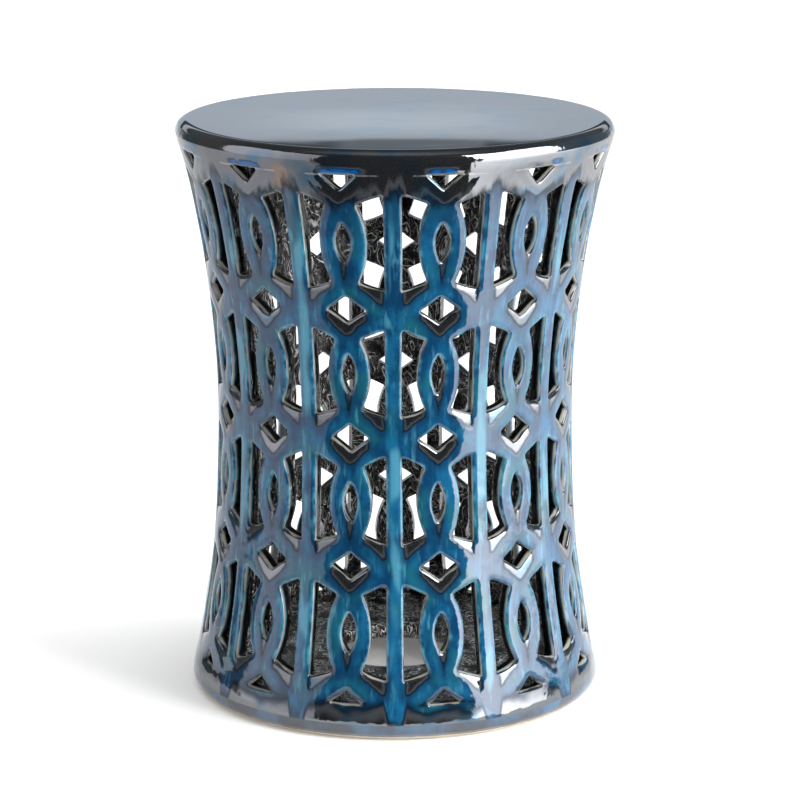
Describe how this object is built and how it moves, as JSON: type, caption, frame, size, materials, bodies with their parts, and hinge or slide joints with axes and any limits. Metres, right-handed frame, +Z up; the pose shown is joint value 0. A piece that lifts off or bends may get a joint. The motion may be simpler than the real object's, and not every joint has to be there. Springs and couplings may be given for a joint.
{
  "type": "ceramic garden stool",
  "caption": "Waisted round openwork garden stool in glazed ceramic, with a flat round seat, a pierced wall of bars and eye-shaped bands, and an open-centred base.",
  "frame": {"origin": "on the floor, at the centre of the foot ring", "axes": "+Z up along the drum's axis; the middle of one upright bar faces -Y, which is the front in the picture; +X is to the right seen from the front"},
  "size_m": [0.3432, 0.3432, 0.457],
  "materials": {
    "blue_glaze": "high-gloss lustrous blue glaze, darker on the flats and paler on the raised bands",
    "dark_glaze": "near-black gloss glaze over hand-worked clay",
    "bare_clay": "unglazed matt stoneware"
  },
  "bodies": {
    "root": {"seat_slab": "blue_glaze", "shoulder_band": "blue_glaze", "upright_bars": "blue_glaze", "eye_bands_highest": "blue_glaze", "eye_bands_upper": "blue_glaze", "eye_bands_lower": "blue_glaze", "eye_bands_lowest": "blue_glaze", "base_band": "blue_glaze", "floor_slab": "dark_glaze", "foot_ring": "bare_clay"}
  },
  "joints": []
}
